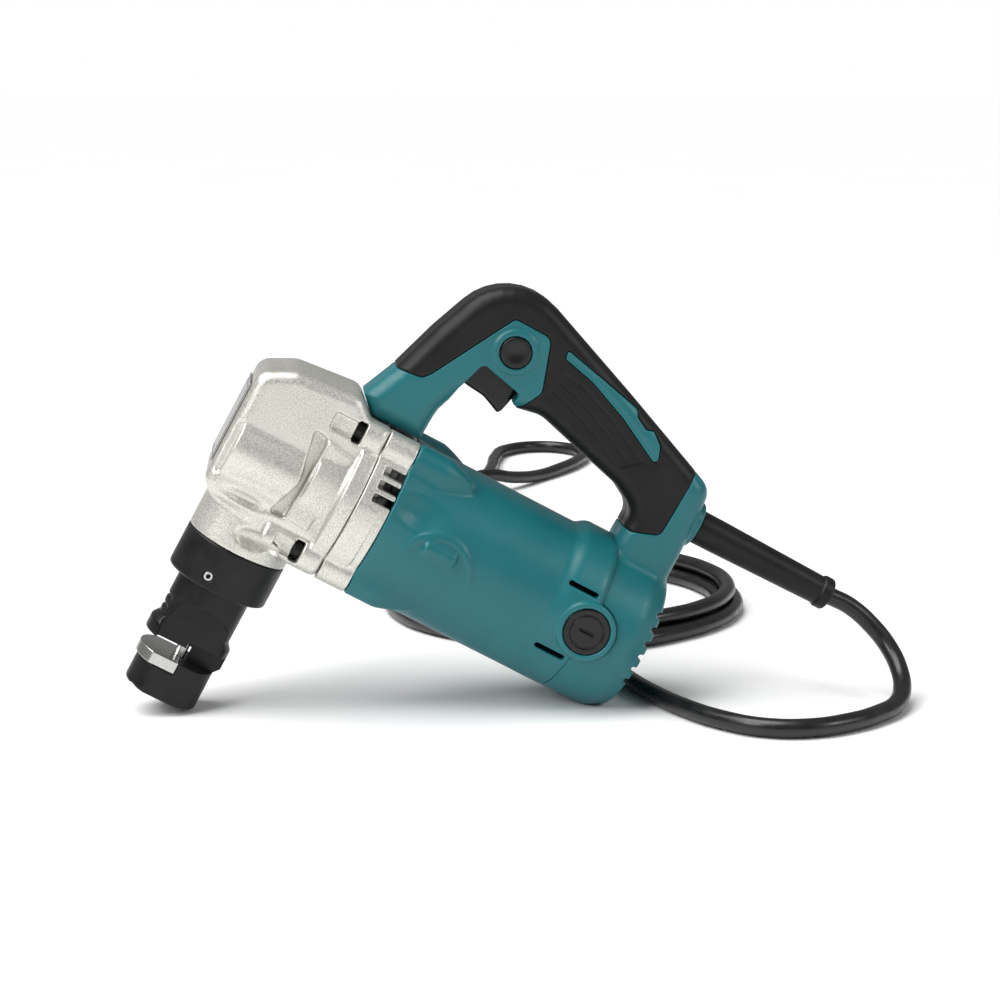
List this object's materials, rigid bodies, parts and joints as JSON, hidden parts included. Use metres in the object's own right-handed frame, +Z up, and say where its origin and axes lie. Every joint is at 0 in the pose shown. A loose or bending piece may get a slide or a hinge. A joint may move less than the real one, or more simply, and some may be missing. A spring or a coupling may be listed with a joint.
{
  "type": "corded sheet-metal nibbler",
  "caption": "Corded nibbler for sheet metal: a motor and an angled gear head drive a punch through a die holder with an open throat; D-shaped handle with trigger and lock button; coiled cord.",
  "frame": {"origin": "on the surface that the tool stands on, under the middle of its length and width, without its cord", "axes": "+Z up; +X from the punch end to the cord end, level; +Y to the right of a user who holds the handle. The motor axis points back and down 28.5 degrees, and the punch axis leans back 28.5 degrees from +Z"},
  "size_m": [0.3913, 0.8346, 0.2097],
  "materials": {
    "cast_aluminium": "cast, satin, warm grey",
    "teal_moulding": "moulded, fine texture, satin",
    "grip_rubber": "soft black, matt",
    "black_plastic": "moulded, half gloss",
    "black_oxide": "black oxide steel, oily satin",
    "bright_steel": "ground",
    "bearing_steel": "polished",
    "gear_steel": "hardened, greased",
    "copper": "copper, varnished",
    "lamination": "stacked sheet",
    "carbon": "pressed carbon",
    "brass": "drawn",
    "bronze": "sintered",
    "inner_plastic": "moulded",
    "cord_sheath": "smooth black, half gloss"
  },
  "bodies": {
    "tool_body": {"gear_housing": "cast_aluminium", "bearing_box": "cast_aluminium", "motor_housing": "teal_moulding", "handle_left": "teal_moulding", "handle_right": "teal_moulding", "grip_left": "grip_rubber", "grip_right": "grip_rubber", "cord_guard": "grip_rubber", "plug": "grip_rubber", "brush_cap_left": "black_plastic", "brush_cap_right": "black_plastic", "housing_bolt_1": "black_oxide", "housing_bolt_2": "black_oxide", "housing_bolt_3": "black_oxide", "housing_bolt_4": "black_oxide", "handle_screw_1": "black_oxide", "handle_screw_2": "black_oxide", "handle_screw_3": "black_oxide", "handle_screw_4": "black_oxide", "front_plate": "bright_steel", "crank_bearing_1": "bearing_steel", "crank_bearing_2": "bearing_steel", "front_bearing": "bearing_steel", "rear_bearing": "bearing_steel", "trigger_spring": "bearing_steel", "field_stator": "lamination", "carbon_brush_left": "carbon", "carbon_brush_right": "carbon", "brush_holder_left": "brass", "brush_holder_right": "brass", "plug_blade_1": "brass", "plug_blade_2": "brass", "slider_bush": "bronze", "air_baffle": "inner_plastic", "switch_body": "inner_plastic", "power_cord": "cord_sheath", "cord_coil": "cord_sheath", "cord_tail": "cord_sheath"},
    "armature": {"armature_shaft": "gear_steel", "armature_core": "lamination", "armature_windings_front": "copper", "armature_windings_rear": "copper", "commutator": "copper", "cooling_fan": "inner_plastic"},
    "intermediate": {"intermediate_shaft": "gear_steel", "intermediate_gear": "gear_steel"},
    "crank": {"crankshaft": "gear_steel", "crank_gear": "gear_steel"},
    "ram": {"slider": "gear_steel", "punch": "bright_steel", "punch_screw": "black_oxide"},
    "lock_nut_body": {"lock_nut": "black_oxide", "lock_nut_screw": "bright_steel"},
    "die_assembly": {"die_holder": "black_oxide", "die": "bright_steel", "die_bolt_1": "black_oxide", "die_bolt_2": "black_oxide"},
    "trigger_body": {"trigger": "black_plastic"},
    "lock_button_body": {"lock_button": "black_plastic"}
  },
  "joints": [
    {"name": "armature_spin", "type": "hinge", "parent": "tool_body", "child": "armature", "pos_m": [0.03572, 0, 0.06837], "axis": [0.8788, 0, -0.4772], "continuous": true},
    {"name": "intermediate_spin", "type": "hinge", "parent": "tool_body", "child": "intermediate", "pos_m": [-0.02193, 0, 0.12357], "axis": [0.8788, 0, -0.4772], "continuous": true},
    {"name": "crank_spin", "type": "hinge", "parent": "tool_body", "child": "crank", "pos_m": [-0.05191, 0, 0.11026], "axis": [0.8788, 0, -0.4772], "continuous": true},
    {"name": "punch_stroke", "type": "slide", "parent": "tool_body", "child": "ram", "axis": [0.4772, 0, 0.8788], "range_m": [0, 0.008]},
    {"name": "lock_nut_turn", "type": "hinge", "parent": "tool_body", "child": "lock_nut_body", "pos_m": [-0.09477, 0, 0.07323], "axis": [0.4772, 0, 0.8788], "range_deg": [0, 360]},
    {"name": "die_holder_turn", "type": "hinge", "parent": "tool_body", "child": "die_assembly", "pos_m": [-0.11243, 0, 0.04071], "axis": [0.4772, 0, 0.8788], "continuous": true},
    {"name": "trigger_press", "type": "hinge", "parent": "tool_body", "child": "trigger_body", "pos_m": [0.03085, 0, 0.17571], "axis": [0, -1, 0], "range_deg": [0, 12], "stiffness_Nm_per_rad": 0.5, "springref_deg": -11.46, "deforming": ["trigger_spring"]},
    {"name": "lock_button_press", "type": "slide", "parent": "tool_body", "child": "lock_button_body", "axis": [0, 1, 0], "range_m": [0, 0.003], "stiffness_N_per_m": 400, "springref_m": -0.003}
  ],
  "couplings": [
    {"joint": "intermediate_spin", "follows": "armature_spin", "ratio": -0.3125},
    {"joint": "crank_spin", "follows": "armature_spin", "ratio": 0.09375}
  ]
}
